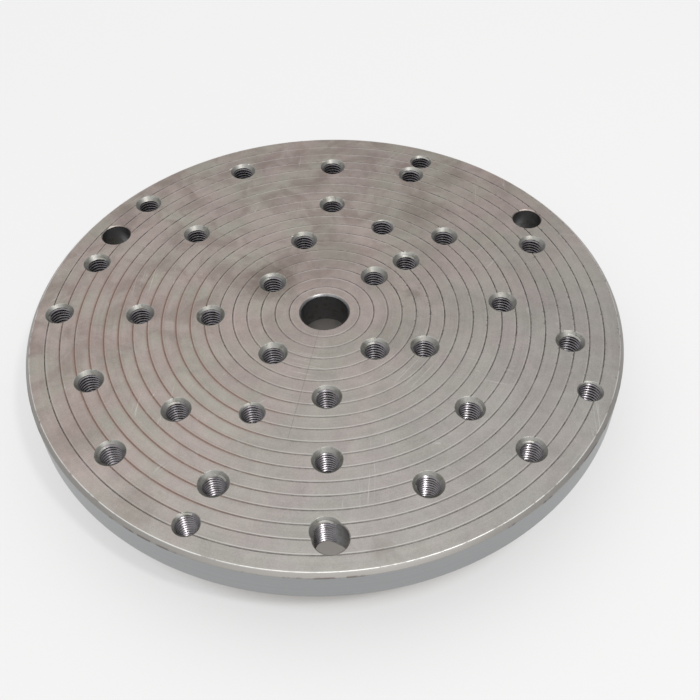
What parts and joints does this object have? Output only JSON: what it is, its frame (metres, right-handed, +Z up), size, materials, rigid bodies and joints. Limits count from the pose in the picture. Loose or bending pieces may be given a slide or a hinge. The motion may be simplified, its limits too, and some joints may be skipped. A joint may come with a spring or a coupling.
{
  "type": "rotary table",
  "caption": "Low round table for machine work: a ringed, drilled and tapped steel plate that turns by hand on a bolted-down base, with a knob that locks it.",
  "frame": {"origin": "on the table's axis, at the base's underside", "axes": "+Z up along the table's axis; -Y towards the operator, where one plain hole of the plate stands at rest; +X to the operator's right"},
  "size_m": [0.25, 0.25, 0.042],
  "materials": {
    "ground_steel": "ground and ringed steel, dulled by use",
    "turned_steel": "fine turned steel",
    "bearing_steel": "polished bearing steel",
    "black_steel": "black oxide steel",
    "base_iron": "grey painted casting with machined faces",
    "seal_rubber": "matt nitrile rubber",
    "gasket_fibre": "pressed fibre",
    "cage_brass": "machined brass",
    "knob_plastic": "moulded black plastic"
  },
  "bodies": {
    "base": {"base": "base_iron", "thrust_washer_lower": "bearing_steel", "bearing_outer_race": "bearing_steel", "bearing_seals": "seal_rubber", "dust_seal": "seal_rubber", "grease_plug": "cage_brass", "cover_gasket": "gasket_fibre", "bottom_cover": "turned_steel", "cover_screws": "turned_steel"},
    "table": {"table_plate": "ground_steel", "hub": "turned_steel", "hub_screws": "black_steel", "hub_dowels": "bearing_steel", "thrust_washer_upper": "bearing_steel", "bearing_inner_race": "bearing_steel", "tab_washer": "turned_steel", "ring_nut": "black_steel"},
    "needle_set": {"needle_cage": "turned_steel", "thrust_needles": "bearing_steel"},
    "ball_set": {"ball_cage": "cage_brass", "bearing_balls": "bearing_steel"},
    "lock_slider": {"lock_pad": "cage_brass"},
    "lock_handle": {"lock_screw": "turned_steel", "knob_bush": "cage_brass", "lock_knob": "knob_plastic"}
  },
  "joints": [
    {"name": "table_spin", "type": "hinge", "parent": "base", "child": "table", "pos_m": [0, 0, 0], "axis": [0, 0, 1], "continuous": true},
    {"name": "needle_spin", "type": "hinge", "parent": "base", "child": "needle_set", "pos_m": [0, 0, 0], "axis": [0, 0, 1], "continuous": true},
    {"name": "ball_spin", "type": "hinge", "parent": "base", "child": "ball_set", "pos_m": [0, 0, 0], "axis": [0, 0, 1], "continuous": true},
    {"name": "lock_turn", "type": "hinge", "parent": "lock_slider", "child": "lock_handle", "pos_m": [0.06364, -0.06364, 0.0135], "axis": [-0.7071, 0.7071, 0], "range_deg": [-720.5, 158.9]},
    {"name": "lock_travel", "type": "slide", "parent": "base", "child": "lock_slider", "axis": [-0.7071, 0.7071, 0], "range_m": [-0.0025, 0.00055]}
  ],
  "couplings": [
    {"joint": "needle_spin", "follows": "table_spin", "ratio": 0.5},
    {"joint": "ball_spin", "follows": "table_spin", "ratio": 0.45906},
    {"joint": "lock_turn", "follows": "lock_travel", "rad_per_m": 5026.5}
  ]
}
